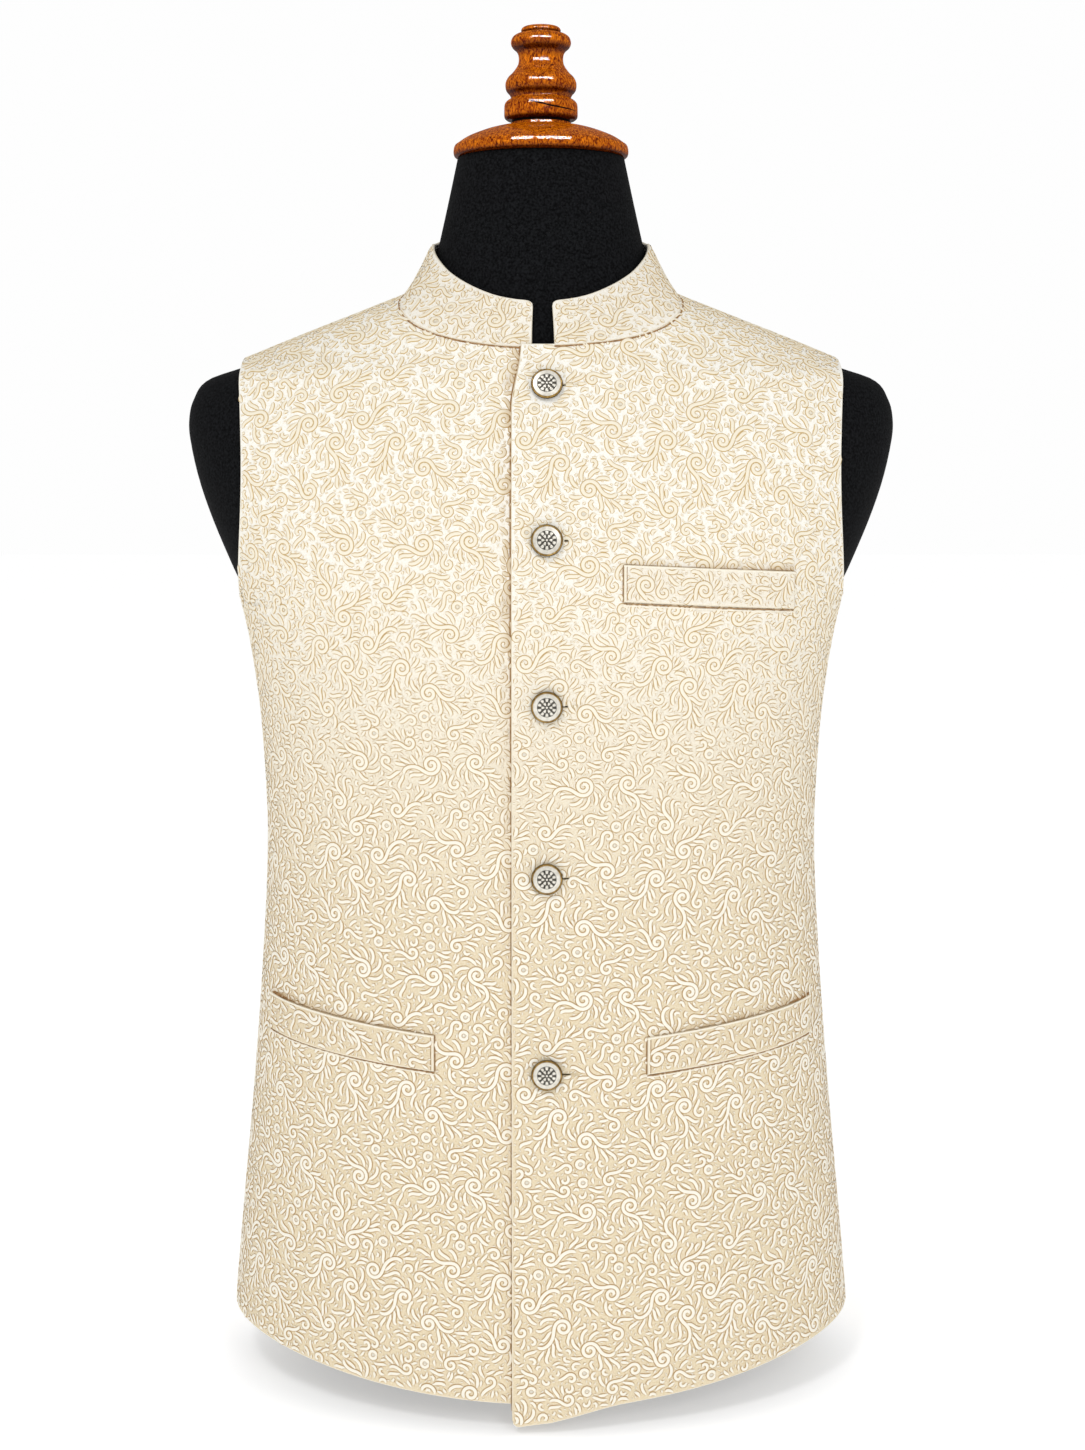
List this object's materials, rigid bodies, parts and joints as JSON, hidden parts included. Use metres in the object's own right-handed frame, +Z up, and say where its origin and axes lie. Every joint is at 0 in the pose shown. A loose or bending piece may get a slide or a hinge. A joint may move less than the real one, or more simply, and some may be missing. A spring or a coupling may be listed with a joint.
{
  "type": "waistcoat on a limbless dress form",
  "caption": "Sleeveless stand-collar waistcoat, buttoned up the front with a chest welt and lower welt pockets, worn by a limbless dress form with a turned neck cap.",
  "frame": {"origin": "on the surface that the dress form stands on, under the middle of its neck", "axes": "+Z up; the front faces -Y; +X is the wearer's left"},
  "size_m": [0.4836, 0.271, 0.9338],
  "materials": {
    "brocade": "ivory cloth with a raised scrolling weave",
    "button": "pale metal, engraved, with a thin gilt rim",
    "jersey": "matt black knitted cover",
    "turned_wood": "turned, stained red-brown and varnished"
  },
  "bodies": {
    "root": {"front_right": "brocade", "front_left": "brocade", "back_right": "brocade", "back_left": "brocade", "collar": "brocade", "welt_pocket_right": "brocade", "welt_pocket_left": "brocade", "welt_chest": "brocade", "button_1": "button", "button_2": "button", "button_3": "button", "button_4": "button", "button_5": "button", "dress_form": "jersey", "neck_cap": "turned_wood", "neck_finial": "turned_wood"}
  },
  "joints": []
}
